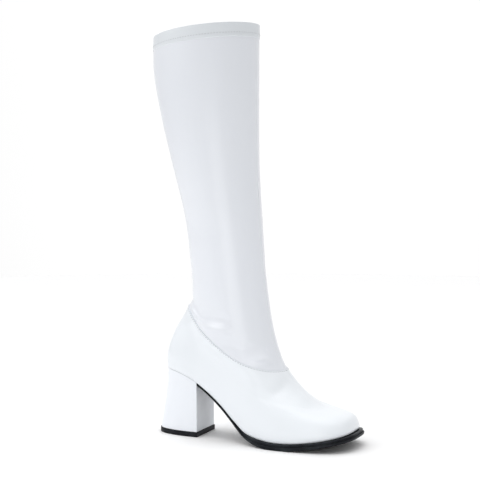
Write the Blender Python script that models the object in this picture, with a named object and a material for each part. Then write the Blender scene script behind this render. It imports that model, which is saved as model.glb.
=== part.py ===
"""Go go boot for the right foot: a knee-high upper on a block heel and a thin black sole.

Lengths are in millimetres until MM turns them into metres. x runs forward from the breast of
the heel, y toward the inner side of the foot and z up from the floor. CENTRE_X then moves the
boot so that the origin lies under the middle of its box.
"""

import bmesh
import bpy
import numpy as np

MM = 0.001

# Driving sizes
FOOT_LENGTH = 238.0  # back of the top piece to the tip of the sole, within 2 mm
HEEL_LENGTH = 53.0  # breast to the back of the heel's base
BALL_WIDTH = 87.0  # across the upper at the ball
SEAT_HEIGHT = 75.0  # floor to the feather line at the back of the heel
INSTEP_HEIGHT = 80.0  # floor to the ankle seam at the front
BOOT_HEIGHT = 455.4  # floor to the front of the collar
CALF_LENGTH = 120.0  # front to back at the collar
CALF_WIDTH = 102.0  # across the collar
WALL = 1.8
PANEL_STEP = 0.7  # the foot panels stand this far over the shaft
HEM_STEP = 0.5  # the folded hem stands this far over the shaft
GAP = 0.3  # between pieces that touch
CENTRE_X = 61.9  # from the breast to the middle of the boot's box

# Sections of the upper, bottom to top. front, back and widest are in percent of FOOT_LENGTH,
# outer and inner in percent of BALL_WIDTH, front_z in percent of INSTEP_HEIGHT and back_z in
# percent of SEAT_HEIGHT. follow is how much a section copies the dips of the feather line and
# of the waist, and sag is how far its sides hang below the line from back to front.
SECTION_COLUMNS = (
    "front", "front_z", "back", "back_z", "widest", "outer", "inner",
    "front_power", "back_power", "follow", "sag",
)
FOOT_SECTIONS = {
    "feather": (74.4, 22.9, -18.5, 99.9, 44.6, 50.0, 46.0, 3.00, 2.30, 1.00, 0.0),
    "side wall": (74.0, 30.5, -18.4, 110.7, 43.7, 51.6, 47.4, 2.90, 2.40, 1.00, 0.0),
    "shoulder": (72.8, 39.2, -18.1, 122.7, 42.1, 51.2, 47.0, 2.70, 2.40, 0.95, 0.0),
    "toe top": (69.8, 43.8, -16.9, 137.3, 39.9, 49.2, 45.5, 2.45, 2.35, 0.82, 0.0),
    "low vamp": (64.9, 46.8, -15.3, 150.7, 36.1, 46.4, 43.2, 2.25, 2.25, 0.66, 0.0),
    "mid vamp": (58.0, 52.5, -13.4, 162.7, 31.1, 43.9, 41.7, 2.10, 2.15, 0.50, -3.0),
    "high vamp": (48.8, 71.4, -10.4, 178.0, 26.0, 42.0, 40.5, 2.00, 2.05, 0.30, -9.5),
    "ankle seam": (40.7, 98.8, -7.3, 195.5, 21.0, 40.9, 40.0, 2.00, 2.05, 0.00, -14.5),
}
# Here front, back and widest are in percent of CALF_LENGTH, outer and inner in percent of
# CALF_WIDTH, and both heights in percent of BOOT_HEIGHT.
SHAFT_SECTIONS = {
    "instep": (73.7, 21.3, -11.9, 33.7, 35.0, 34.9, 34.3, 2.00, 2.05, 0.00, -10.5),
    "low ankle": (67.8, 26.3, -10.7, 35.6, 30.0, 35.3, 35.3, 2.00, 2.00, 0.00, -4.5),
    "high ankle": (63.2, 32.5, -10.2, 38.2, 26.7, 35.8, 35.8, 2.00, 2.00, 0.00, -1.0),
    "low shin": (59.0, 41.2, -12.6, 44.5, 23.3, 36.8, 36.8, 2.00, 2.00, 0.00, 0.0),
    "high shin": (55.7, 52.6, -16.9, 53.9, 19.6, 39.7, 39.7, 2.00, 2.00, 0.00, 0.0),
    "low calf": (52.3, 65.8, -28.7, 65.8, 11.3, 44.1, 44.1, 2.00, 2.00, 0.00, 0.0),
    "mid calf": (51.8, 78.9, -40.1, 77.6, 4.2, 48.0, 48.0, 2.00, 2.00, 0.00, 0.0),
    "high calf": (51.8, 90.4, -48.2, 88.2, 1.3, 49.8, 49.8, 2.00, 2.00, 0.00, 0.0),
    "hem": (51.9, 96.9, -48.7, 94.0, 1.3, 50.0, 50.0, 2.00, 2.00, 0.00, 1.0),
    "collar": (51.8, 100.0, -48.2, 97.1, 1.5, 50.0, 50.0, 2.00, 2.00, 0.00, 1.4),
}

# Lines along the foot. x is in percent of FOOT_LENGTH, heights in percent of SEAT_HEIGHT.
FEATHER_LINE = (  # x, height of the upper's lower edge
    (-25.2, 100.4), (-19.4, 100.0), (-14.3, 98.4), (-8.4, 94.2), (-4.2, 88.9), (0.0, 81.6),
    (5.4, 70.4), (9.7, 60.3), (13.9, 49.0), (17.6, 38.1), (21.9, 27.2), (26.0, 18.0),
    (31.1, 13.1), (37.0, 10.3), (43.7, 9.3), (50.4, 10.4), (57.2, 13.1), (63.8, 16.5),
    (70.6, 21.1), (77.3, 27.0),
)
TREAD_LINE = (  # x, height of the outsole's underside
    (0.0, 77.2), (5.4, 65.8), (9.7, 55.2), (13.9, 43.7), (17.6, 33.0), (21.9, 21.6),
    (26.0, 11.9), (31.1, 4.9), (35.7, 1.6), (39.1, 0.0), (48.7, 0.0), (53.7, 2.5), (60.5, 6.3),
    (67.3, 10.8), (73.5, 15.7), (78.7, 21.0),
)
WAIST = (  # x, how far the outer and the inner side draw in, % of BALL_WIDTH
    (-25.2, 0.0, 0.0), (-16.8, 0.0, 0.0), (-8.4, 7.4, 5.2), (0.0, 15.5, 12.1),
    (5.4, 17.2, 15.5), (12.6, 17.5, 17.2), (25.2, 10.6, 10.9), (31.3, 5.8, 6.2),
    (37.8, 2.0, 2.2), (46.4, 0.0, 0.0), (84.0, 0.0, 0.0),
)
OUTSET = (  # x, how far the outsole's edge stands out past the feather line, in mm
    (-25.0, 0.2), (12.6, 0.4), (19.0, 1.0), (25.2, 2.4), (32.8, 4.0), (59.0, 4.4), (67.0, 5.4),
    (75.0, 5.8),
)
TOE_SWING = 3.0  # how far the toe turns to the inner side
SWING_START = 90.0
SWING_LENGTH = 95.0

# Edges of the sole's layers, top to bottom: share of the thickness, inset in mm
OUTSOLE_EDGE = ((0.0, 0.5), (0.18, 0.0), (0.78, 0.0), (1.0, 0.6))
WELT_EDGE = ((0.0, 0.5), (0.16, 0.1), (0.42, 0.0), (0.52, 0.5), (0.62, 0.0), (1.0, 0.0))
WELT_START = 50.0  # from the breast to the welt's back ends
WELT_THICKNESS = 2.4
WELT_TAPER = 26.0  # length over which the welt thins out toward its back ends
WELT_END = 0.8  # its thickness there
RAMP = 2.0  # length over which the outsole's top drops to go under the welt
WELT_INSET = 1.5  # how far its edge lies inside the outsole's
INSOLE_THICKNESS = 2.2
INSOLE_EASE = 0.5  # between the insole and the upper's wall

# Heel, bottom to top: share of its height, how far back it reaches in percent of HEEL_LENGTH
HEEL_BACK = ((0.0, 100.0), (0.22, 96.4), (0.45, 91.4), (0.7, 87.2), (1.0, 85.8))
HEEL_WIDTH = 45.8
HEEL_POWER = 2.5
SEAT_MERGE = 2.0  # how late, going up, the heel's plan turns into the feather line's
LIFT_THICKNESS = 5.5
LIFT_PROUD = 0.8  # how far the top piece stands out past the heel
LIFT_BEVEL = 0.6

# Mesh counts
SIDE_POINTS = 28  # points along each side of a section
ROWS_PER_SECTION = 2
FINE_ANGLES = 360
TINY = 0.001
SHARP_ANGLE = 0.6  # radians between faces, above which an edge stays sharp


def smooth(table):
    """A smooth curve through a table's rows, keyed by its first column."""
    table = np.array(table, float)
    keys, rows = table[:, 0], table[:, 1:]
    step = np.diff(keys)[:, None]
    slope = np.diff(rows, axis=0) / step
    middle = (slope[:-1] * step[1:] + slope[1:] * step[:-1]) / (step[1:] + step[:-1])
    middle[slope[:-1] * slope[1:] <= 0.0] = 0.0
    tangent = np.concatenate([slope[:1], middle, slope[-1:]])

    def at(key):
        key = np.clip(np.asarray(key, float), keys[0], keys[-1])
        i = np.clip(np.searchsorted(keys, key, side="right") - 1, 0, len(keys) - 2)
        width = (keys[i + 1] - keys[i])[..., None]
        t = (key - keys[i])[..., None] / width
        value = (2 * t**3 - 3 * t**2 + 1) * rows[i] + (3 * t**2 - 2 * t**3) * rows[i + 1]
        value += (t**3 - 2 * t**2 + t) * width * tangent[i] + (t**3 - t**2) * width * tangent[i + 1]
        return value

    return at


def line_along_foot(table, scale):
    """A function of x in mm, from a table keyed in percent of the foot's length."""
    rows = np.array(table, float)
    curve = smooth(np.c_[rows[:, 0] * FOOT_LENGTH / 100.0, rows[:, 1:] * scale])
    return lambda x: curve(x) if rows.shape[1] > 2 else curve(x)[..., 0]


feather_z = line_along_foot(FEATHER_LINE, SEAT_HEIGHT / 100.0)
tread_z = line_along_foot(TREAD_LINE, SEAT_HEIGHT / 100.0)
waist_in = line_along_foot(WAIST, BALL_WIDTH / 100.0)
outset = line_along_foot(OUTSET, 1.0)


def section_table():
    """All sections in mm, with a row for each section and SECTION_COLUMNS as columns."""
    foot_scale = (
        FOOT_LENGTH, INSTEP_HEIGHT, FOOT_LENGTH, SEAT_HEIGHT, FOOT_LENGTH, BALL_WIDTH, BALL_WIDTH,
    )
    shaft_scale = (
        CALF_LENGTH, BOOT_HEIGHT, CALF_LENGTH, BOOT_HEIGHT, CALF_LENGTH, CALF_WIDTH, CALF_WIDTH,
    )
    rows = []
    for sections, scale in ((FOOT_SECTIONS, foot_scale), (SHAFT_SECTIONS, shaft_scale)):
        for row in sections.values():
            sized = [value * size / 100.0 for value, size in zip(row, scale)]
            rows.append(sized + list(row[len(scale):]))
    return np.array(rows)


def section_points(row, angles):
    """Points of one section. Angle 0 is the front, pi/2 the inner side."""
    cut = dict(zip(SECTION_COLUMNS, row))
    follow = max(cut["follow"], 0.0)
    along, across = np.cos(angles), np.sin(angles)
    front = along >= 0.0
    power = np.where(front, cut["front_power"], cut["back_power"])
    reach = np.where(front, cut["front"] - cut["widest"], cut["widest"] - cut["back"])
    x = cut["widest"] + reach * np.sign(along) * np.abs(along) ** (2.0 / power)
    pinch = waist_in(x) * follow
    inner = across > 0.0
    half = np.where(inner, cut["inner"] - pinch[..., 1], cut["outer"] - pinch[..., 0])
    y = half * np.sign(across) * np.abs(across) ** (2.0 / power)
    y = y + TOE_SWING * (np.maximum(x - SWING_START, 0.0) / SWING_LENGTH) ** 2 * follow**0.5
    share = (x - cut["back"]) / (cut["front"] - cut["back"])
    z = cut["back_z"] + (cut["front_z"] - cut["back_z"]) * share
    ends = feather_z(np.array([cut["back"], cut["front"]]))
    z = z + follow * (feather_z(x) - ends[0] - (ends[1] - ends[0]) * share)
    z = z + cut["sag"] * 4.0 * share * (1.0 - share)
    return np.stack([x, y, z], axis=-1)


def column_angles(row):
    """Angles of a section's columns, from its back to its front, closer together at both."""
    fine = np.linspace(-np.pi, 0.0, FINE_ANGLES + 1)
    steps = np.linalg.norm(np.diff(section_points(row, fine), axis=0), axis=1)
    run = np.concatenate([[0.0], np.cumsum(steps)])
    key = run / run[-1] + np.linspace(0.0, 1.0, FINE_ANGLES + 1)
    return np.interp(np.linspace(0.0, 2.0, SIDE_POINTS + 1), key, fine)


def section_ring(row):
    """A section's closed ring, from the back along the outer side to the front and round.

    Columns i and 2 * SIDE_POINTS - i face each other across the foot at the same x.
    """
    outer_side = column_angles(row)
    angles = np.concatenate([outer_side, -outer_side[-2:0:-1]])
    return section_points(row, angles)


def outward(rings):
    """Unit normals of a stack of closed rings, level at its first and last ring."""
    around = np.roll(rings, -1, axis=1) - np.roll(rings, 1, axis=1)
    up = np.gradient(rings, axis=0)
    normal = np.cross(around, up)
    normal[0, :, 2] = 0.0
    normal[-1, :, 2] = 0.0
    return normal / np.linalg.norm(normal, axis=2)[..., None]


def moved_in_plan(ring, distance):
    """A closed ring moved sideways by a distance at each point, positive being outward."""
    along = (np.roll(ring, -1, axis=0) - np.roll(ring, 1, axis=0))[:, :2]
    along /= np.linalg.norm(along, axis=1)[:, None]
    moved = ring.copy()
    moved[:, 0] += along[:, 1] * distance
    moved[:, 1] -= along[:, 0] * distance
    return moved


def cut_at(ring, place):
    """A closed ring with a point added wherever it crosses x = place."""
    points = []
    for here, ahead in zip(ring, np.roll(ring, -1, axis=0)):
        points.append(here)
        if (here[0] - place) * (ahead[0] - place) < 0.0:
            points.append(here + (ahead - here) * (place - here[0]) / (ahead[0] - here[0]))
    return np.array(points)


def feather_ring(cuts):
    """The upper's lower edge with a point at each x in cuts, from the back round."""
    ring = section_ring(section_table()[0])
    for place in cuts:
        ring = cut_at(ring, place)
    return ring


def make_object(name, rings, faces, finish):
    """An object from a stack of point rings in mm and faces that index them."""
    mesh = bpy.data.meshes.new(name)
    points = np.concatenate(rings)
    points = (points - np.array([CENTRE_X, 0.0, 0.0])) * MM
    mesh.from_pydata(points.tolist(), [], faces)
    mesh.materials.append(finish)
    work = bmesh.new()
    work.from_mesh(mesh)
    bmesh.ops.triangulate(work, faces=[f for f in work.faces if len(f.verts) > 4])
    bmesh.ops.recalc_face_normals(work, faces=work.faces)
    work.to_mesh(mesh)
    work.free()
    mesh.shade_smooth()
    mesh.set_sharp_from_angle(angle=SHARP_ANGLE)
    obj = bpy.data.objects.new(name, mesh)
    bpy.context.scene.collection.objects.link(obj)
    return obj


def finish(name, colour, roughness, coat=0.0):
    """A plain surface for one sub-part."""
    material = bpy.data.materials.new(name)
    material.use_nodes = True
    surface = material.node_tree.nodes["Principled BSDF"]
    surface.inputs["Base Color"].default_value = (*colour, 1.0)
    surface.inputs["Roughness"].default_value = roughness
    surface.inputs["Coat Weight"].default_value = coat
    return material


def band(lower, upper, count, closed):
    """Faces between two rings of count points that start at the points lower and upper."""
    last = count if closed else count - 1
    return [
        (lower + i, lower + (i + 1) % count, upper + (i + 1) % count, upper + i)
        for i in range(last)
    ]


def rungs(start, count, closed):
    """Faces across a ring that join the points of one side to those of the other."""
    end = count if closed else count - 1
    faces = []
    for i in range(end // 2 + end % 2):
        corners = (i, i + 1, end - i - 1, (end - i) % count)
        faces.append(tuple(start + k for k in dict.fromkeys(corners)))
    return [face for face in faces if len(face) > 2]


def block_faces(layers, count):
    """Faces of a block built of open rings: its sides, its flat end, bottom and top."""
    faces = rungs(0, count, False) + rungs((layers - 1) * count, count, False)
    for i in range(layers - 1):
        lower, upper = i * count, (i + 1) * count
        faces += band(lower, upper, count, False)
        faces.append((lower + count - 1, lower, upper, upper + count - 1))
    return faces


def build_upper(leatherette):
    """The hollow upper: outer wall with its steps, rounded rim, inner wall and open foot."""
    table = section_table()
    names = list(FOOT_SECTIONS) + list(SHAFT_SECTIONS)
    count = (len(names) - 1) * ROWS_PER_SECTION + 1
    levels = np.linspace(0.0, len(names) - 1.0, count)
    rows = smooth(np.c_[np.arange(len(names)), table])(levels)
    skin = np.array([section_ring(row) for row in rows])
    normals = outward(skin)
    seam = names.index("ankle seam") * ROWS_PER_SECTION
    hem = names.index("hem") * ROWS_PER_SECTION

    rings = [skin[0]]
    rings += [skin[i] + normals[i] * PANEL_STEP for i in range(1, seam + 1)]
    rings += [skin[i] for i in range(seam, hem + 1)]
    rings += [skin[i] + normals[i] * HEM_STEP for i in range(hem, count)]
    lip = skin[-1] + normals[-1] * (HEM_STEP - WALL) / 2.0
    lip[:, 2] += HEM_STEP
    rings.append(lip)
    rings += [skin[i] - normals[i] * WALL for i in reversed(range(count))]

    around = 2 * SIDE_POINTS
    faces = []
    for i in range(len(rings)):
        above = (i + 1) % len(rings)
        faces += band(i * around, above * around, around, True)
    return make_object("upper", rings, faces, leatherette)


def build_insole(sock):
    """The insole, just inside the upper's wall."""
    lower = moved_in_plan(feather_ring(()), -(WALL + INSOLE_EASE))
    lower[:, 2] += GAP
    upper = lower + np.array([0.0, 0.0, INSOLE_THICKNESS])
    count = len(lower)
    faces = band(0, count, count, True) + rungs(0, count, True) + rungs(count, count, True)
    return make_object("insole", [lower, upper], faces, sock)


def welt_thickness(x):
    """Full at the forefoot and thin at the back ends."""
    share = np.clip((x - WELT_START) / WELT_TAPER, 0.0, 1.0)
    return WELT_END + (WELT_THICKNESS - WELT_END) * share


def build_sole_layer(name, start, inset, top, bottom, edge, surface):
    """A layer of the sole in front of start, with a shaped edge.

    top and bottom take the feather ring's points and give the layer's heights there.
    """
    ring = feather_ring((start, WELT_START - RAMP, WELT_START) if start < WELT_START else (start,))
    ahead = ring[:, 0] > start - TINY
    rings = []
    for share, bevel in edge:
        moved = moved_in_plan(ring, outset(ring[:, 0]) - inset - bevel)
        moved[:, 2] = top(ring) + (bottom(ring) - top(ring)) * share
        ends = np.abs(ring[:, 0] - start) < TINY
        moved[ends, 0] = start
        rings.append(moved[ahead])
    return make_object(name, rings, block_faces(len(rings), len(rings[0])), surface)


def under_upper(ring):
    return ring[:, 2] - GAP


def under_welt(ring):
    """Just under the welt, and just under the upper behind it."""
    share = np.clip((ring[:, 0] - WELT_START) / RAMP + 1.0, 0.0, 1.0)
    return under_upper(ring) - share * (welt_thickness(ring[:, 0]) + GAP)


def build_welt(rubber):
    def underside(ring):
        return under_upper(ring) - welt_thickness(ring[:, 0])

    return build_sole_layer(
        "welt", WELT_START, WELT_INSET, under_upper, underside, WELT_EDGE, rubber
    )


def build_outsole(rubber):
    def underside(ring):
        return tread_z(ring[:, 0])

    return build_sole_layer("outsole", GAP, 0.0, under_welt, underside, OUTSOLE_EDGE, rubber)


def heel_plan(reach, inset, shares):
    """The heel seen from below: straight breast and round back, from its outer corner.

    shares says how far along the outline each point lies.
    """
    angles = np.linspace(0.0, np.pi, FINE_ANGLES + 1)
    along, across = np.sin(angles), np.cos(angles)
    x = -inset - (reach - 2.0 * inset) * np.abs(along) ** (2.0 / HEEL_POWER)
    y = (inset - HEEL_WIDTH / 2.0) * np.sign(across) * np.abs(across) ** (2.0 / HEEL_POWER)
    run = np.concatenate([[0.0], np.cumsum(np.hypot(np.diff(x), np.diff(y)))])
    places = shares * run[-1]
    return np.stack([np.interp(places, run, x), np.interp(places, run, y), 0.0 * places], axis=1)


def seat_outline():
    """The feather line behind the breast, from its outer to its inner corner."""
    ring = feather_ring((0.0,))
    ring = np.roll(ring, len(ring) // 2, axis=0)
    return ring[ring[:, 0] < TINY][::-1]


def run_shares(points):
    """How far along a path each of its points lies, from 0 to 1."""
    run = np.cumsum(np.linalg.norm(np.diff(points, axis=0), axis=1))
    return np.concatenate([[0.0], run / run[-1]])


def build_heel(cover):
    """The block heel, from its plan over the top piece up to the seat."""
    seat = seat_outline()
    shares = run_shares(seat[:, :2])
    crown = seat[:, 2] - GAP
    foot = LIFT_THICKNESS + GAP
    rings = []
    for height, back in HEEL_BACK:
        ring = heel_plan(HEEL_LENGTH * back / 100.0, 0.0, shares)
        merge = height**SEAT_MERGE
        ring = ring * (1.0 - merge) + seat * merge
        ring[:, 2] = foot + (crown - foot) * height
        rings.append(ring)
    return make_object("heel", rings, block_faces(len(rings), len(seat)), cover)


def build_top_piece(rubber):
    """The black lift that the heel stands on."""
    shares = run_shares(seat_outline()[:, :2])
    rings = []
    for height, bevel in ((0.0, LIFT_BEVEL), (LIFT_BEVEL, 0.0), (LIFT_THICKNESS, 0.0)):
        ring = heel_plan(HEEL_LENGTH, bevel - LIFT_PROUD, shares)
        ring[:, 2] = height
        rings.append(ring)
    return make_object("top_piece", rings, block_faces(len(rings), len(shares)), rubber)


for old in list(bpy.data.objects):
    bpy.data.objects.remove(old)

build_upper(finish("white leatherette", (0.84, 0.86, 0.88), 0.28, 0.3))
build_insole(finish("sock lining", (0.62, 0.62, 0.60), 0.8))
build_welt(finish("black welt", (0.03, 0.032, 0.036), 0.45))
build_outsole(finish("black sole", (0.02, 0.021, 0.024), 0.5))
build_heel(finish("heel cover", (0.84, 0.86, 0.88), 0.3, 0.3))
build_top_piece(finish("black top piece", (0.02, 0.02, 0.022), 0.5))
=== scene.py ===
"""Go go boot for the right foot: its looks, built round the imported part.

Lengths are in millimetres until MM turns them into metres. x runs forward from the breast of
the heel, y toward the inner side of the foot and z up from the floor, and CENTRE_X moves the
boot into the part's frame.
"""

import bmesh
import bpy
import numpy as np
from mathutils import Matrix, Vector


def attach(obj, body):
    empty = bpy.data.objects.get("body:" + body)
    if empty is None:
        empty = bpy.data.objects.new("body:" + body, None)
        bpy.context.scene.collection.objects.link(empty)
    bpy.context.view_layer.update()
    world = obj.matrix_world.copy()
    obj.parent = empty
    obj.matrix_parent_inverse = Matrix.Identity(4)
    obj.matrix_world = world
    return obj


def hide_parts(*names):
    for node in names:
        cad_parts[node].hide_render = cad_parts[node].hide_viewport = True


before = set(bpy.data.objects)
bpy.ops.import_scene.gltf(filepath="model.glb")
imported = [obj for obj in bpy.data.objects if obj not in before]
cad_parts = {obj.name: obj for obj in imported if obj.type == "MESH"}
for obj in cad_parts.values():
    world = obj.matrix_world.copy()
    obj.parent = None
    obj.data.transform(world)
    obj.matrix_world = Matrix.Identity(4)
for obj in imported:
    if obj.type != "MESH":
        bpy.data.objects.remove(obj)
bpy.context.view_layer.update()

MM = 0.001

# Driving sizes, as in the part
FOOT_LENGTH = 238.0
HEEL_LENGTH = 53.0
BALL_WIDTH = 87.0
SEAT_HEIGHT = 75.0
INSTEP_HEIGHT = 80.0
BOOT_HEIGHT = 455.4  # floor to the front of the collar
CALF_LENGTH = 120.0  # front to back at the collar
CALF_WIDTH = 102.0  # across the collar
WALL = 1.8
PANEL_STEP = 0.7  # the foot panels stand this far over the shaft
HEM_STEP = 0.5  # the folded hem stands this far over the shaft
GAP = 0.3  # between pieces that touch
CENTRE_X = 61.9  # from the breast to the middle of the boot's box

# Sections of the upper, bottom to top. front, back and widest are in percent of FOOT_LENGTH,
# outer and inner in percent of BALL_WIDTH, front_z in percent of INSTEP_HEIGHT and back_z in
# percent of SEAT_HEIGHT. follow is how much a section copies the dips of the feather line and
# of the waist, and sag is how far its sides hang below the line from back to front.
SECTION_COLUMNS = (
    "front", "front_z", "back", "back_z", "widest", "outer", "inner",
    "front_power", "back_power", "follow", "sag",
)
FOOT_SECTIONS = {
    "feather": (74.4, 22.9, -18.5, 99.9, 44.6, 50.0, 46.0, 3.00, 2.30, 1.00, 0.0),
    "side wall": (74.0, 30.5, -18.4, 110.7, 43.7, 51.6, 47.4, 2.90, 2.40, 1.00, 0.0),
    "shoulder": (72.8, 39.2, -18.1, 122.7, 42.1, 51.2, 47.0, 2.70, 2.40, 0.95, 0.0),
    "toe top": (69.8, 43.8, -16.9, 137.3, 39.9, 49.2, 45.5, 2.45, 2.35, 0.82, 0.0),
    "low vamp": (64.9, 46.8, -15.3, 150.7, 36.1, 46.4, 43.2, 2.25, 2.25, 0.66, 0.0),
    "mid vamp": (58.0, 52.5, -13.4, 162.7, 31.1, 43.9, 41.7, 2.10, 2.15, 0.50, -3.0),
    "high vamp": (48.8, 71.4, -10.4, 178.0, 26.0, 42.0, 40.5, 2.00, 2.05, 0.30, -9.5),
    "ankle seam": (40.7, 98.8, -7.3, 195.5, 21.0, 40.9, 40.0, 2.00, 2.05, 0.00, -14.5),
}
# Here front, back and widest are in percent of CALF_LENGTH, outer and inner in percent of
# CALF_WIDTH, and both heights in percent of BOOT_HEIGHT.
SHAFT_SECTIONS = {
    "instep": (73.7, 21.3, -11.9, 33.7, 35.0, 34.9, 34.3, 2.00, 2.05, 0.00, -10.5),
    "low ankle": (67.8, 26.3, -10.7, 35.6, 30.0, 35.3, 35.3, 2.00, 2.00, 0.00, -4.5),
    "high ankle": (63.2, 32.5, -10.2, 38.2, 26.7, 35.8, 35.8, 2.00, 2.00, 0.00, -1.0),
    "low shin": (59.0, 41.2, -12.6, 44.5, 23.3, 36.8, 36.8, 2.00, 2.00, 0.00, 0.0),
    "high shin": (55.7, 52.6, -16.9, 53.9, 19.6, 39.7, 39.7, 2.00, 2.00, 0.00, 0.0),
    "low calf": (52.3, 65.8, -28.7, 65.8, 11.3, 44.1, 44.1, 2.00, 2.00, 0.00, 0.0),
    "mid calf": (51.8, 78.9, -40.1, 77.6, 4.2, 48.0, 48.0, 2.00, 2.00, 0.00, 0.0),
    "high calf": (51.8, 90.4, -48.2, 88.2, 1.3, 49.8, 49.8, 2.00, 2.00, 0.00, 0.0),
    "hem": (51.9, 96.9, -48.7, 94.0, 1.3, 50.0, 50.0, 2.00, 2.00, 0.00, 1.0),
    "collar": (51.8, 100.0, -48.2, 97.1, 1.5, 50.0, 50.0, 2.00, 2.00, 0.00, 1.4),
}

# Lines along the foot. x is in percent of FOOT_LENGTH, heights in percent of SEAT_HEIGHT.
FEATHER_LINE = (  # x, height of the upper's lower edge
    (-25.2, 100.4), (-19.4, 100.0), (-14.3, 98.4), (-8.4, 94.2), (-4.2, 88.9), (0.0, 81.6),
    (5.4, 70.4), (9.7, 60.3), (13.9, 49.0), (17.6, 38.1), (21.9, 27.2), (26.0, 18.0),
    (31.1, 13.1), (37.0, 10.3), (43.7, 9.3), (50.4, 10.4), (57.2, 13.1), (63.8, 16.5),
    (70.6, 21.1), (77.3, 27.0),
)
TREAD_LINE = (  # x, height of the outsole's underside
    (0.0, 77.2), (5.4, 65.8), (9.7, 55.2), (13.9, 43.7), (17.6, 33.0), (21.9, 21.6),
    (26.0, 11.9), (31.1, 4.9), (35.7, 1.6), (39.1, 0.0), (48.7, 0.0), (53.7, 2.5), (60.5, 6.3),
    (67.3, 10.8), (73.5, 15.7), (78.7, 21.0),
)
WAIST = (  # x, how far the outer and the inner side draw in, % of BALL_WIDTH
    (-25.2, 0.0, 0.0), (-16.8, 0.0, 0.0), (-8.4, 7.4, 5.2), (0.0, 15.5, 12.1),
    (5.4, 17.2, 15.5), (12.6, 17.5, 17.2), (25.2, 10.6, 10.9), (31.3, 5.8, 6.2),
    (37.8, 2.0, 2.2), (46.4, 0.0, 0.0), (84.0, 0.0, 0.0),
)
OUTSET = (  # x, how far the outsole's edge stands out past the feather line, in mm
    (-25.0, 0.2), (12.6, 0.4), (19.0, 1.0), (25.2, 2.4), (32.8, 4.0), (59.0, 4.4), (67.0, 5.4),
    (75.0, 5.8),
)
TOE_SWING = 3.0  # how far the toe turns to the inner side
SWING_START = 90.0
SWING_LENGTH = 95.0

WELT_START = 50.0  # from the breast to the welt's back ends
WELT_THICKNESS = 2.4
WELT_TAPER = 26.0  # length over which the welt thins out toward its back ends
WELT_END = 0.8  # its thickness there
RAMP = 2.0  # length over which the outsole's top drops to go under the welt
WELT_INSET = 1.5  # how far its edge lies inside the outsole's

# Heel, bottom to top: share of its height, how far back it reaches in percent of HEEL_LENGTH
HEEL_BACK = ((0.0, 100.0), (0.22, 96.4), (0.45, 91.4), (0.7, 87.2), (1.0, 85.8))
HEEL_WIDTH = 45.8
HEEL_POWER = 2.5  # how square the corners of its plan are, 2 being an ellipse
SEAT_MERGE = 2.0  # how late on the way up its plan turns into the seat's outline
LIFT_THICKNESS = 5.5
LIFT_PROUD = 0.8  # how far the top piece stands out past the heel

# Edges of the sole's layers, top to bottom: share of the thickness, inset in mm
OUTSOLE_EDGE = (
    (0.0, 0.9), (0.03, 0.5), (0.1, 0.15), (0.18, 0.0), (0.45, 0.0), (0.72, 0.05), (0.86, 0.15),
    (0.95, 0.4), (0.99, 0.8), (1.0, 1.3),
)
WELT_EDGE = (
    (0.0, 1.1), (0.02, 0.6), (0.08, 0.2), (0.18, 0.0), (0.36, 0.0), (0.4, 0.12), (0.44, 0.5),
    (0.52, 0.6), (0.6, 0.5), (0.64, 0.12), (0.68, 0.0), (0.96, 0.0), (1.0, 0.3),
)
# Edge of the top piece, top to bottom: height, inset in mm
LIFT_EDGE = (
    (LIFT_THICKNESS, 0.25), (LIFT_THICKNESS - 0.08, 0.08), (LIFT_THICKNESS - 0.25, 0.0),
    (0.7, 0.0), (0.35, 0.1), (0.12, 0.3), (0.0, 0.65),
)

# Grooves across the forefoot's tread. The side of a groove starts at GROOVE_FLOOR /
# GROOVE_FLANK of a pitch from its middle, and rises at GROOVE_FLANK a pitch.
GROOVE_PITCH = 4.0
GROOVE_DEPTH = 0.7
GROOVE_FLANK = 4.0
GROOVE_FLOOR = 0.6
GROOVES_START = 68.0
GROOVE_MARGIN = 6.0  # left plain along the edge
GROOVE_FADE = 0.8  # length over which a groove ends

# Foot panels. A run is a distance in mm from their upper edge, negative below it.
LAP = 4.6  # how far they lap over the shaft
STITCH_RUN = -1.1
EDGE_RADIUS = 0.4
EDGE_DROP = 0.45  # how far their upper edge is rounded off
EDGE_RUNS = (
    -7.5, -6.0, -LAP, -3.4, -2.5, -1.7, STITCH_RUN, -0.7, -EDGE_RADIUS, -0.2, -0.08, 0.0,
)
UNDER_LAP = 0.25  # how deep the underside of the lap lies in the skin
STEP_LEVELS = 0.3  # levels over which their step grows from the feather line up
STEP_POWER = 0.7

# Shaft. Here a run is a distance in mm from the ankle seam, negative under the foot panels.
TUCK_RUNS = (-4.2, -3.0, -1.6, -0.6, -0.2, 0.0, 0.2, 0.5, 0.9, 1.5, 2.3, 3.3, 4.6, 6.2, 8.0)
TUCK_DEPTH = 0.3  # how far the shaft is drawn in under the foot panels
TUCK_FADE = 1.2  # how soon that ends above them

# Folded hem, in levels from its lower edge
HEM_OFFSETS = (-0.08, -0.04, -0.02, -0.01, 0.0, 0.01, 0.02, 0.04, 0.08)
BAND_START = 0.14
FOLD_BELOW = 0.01  # where the fold starts to stand out
FOLD_HEIGHT = 0.04  # levels over which it does
LIP_TURNS = (30.0, 60.0, 90.0, 120.0, 150.0)  # degrees round the lip, from outside to inside

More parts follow.
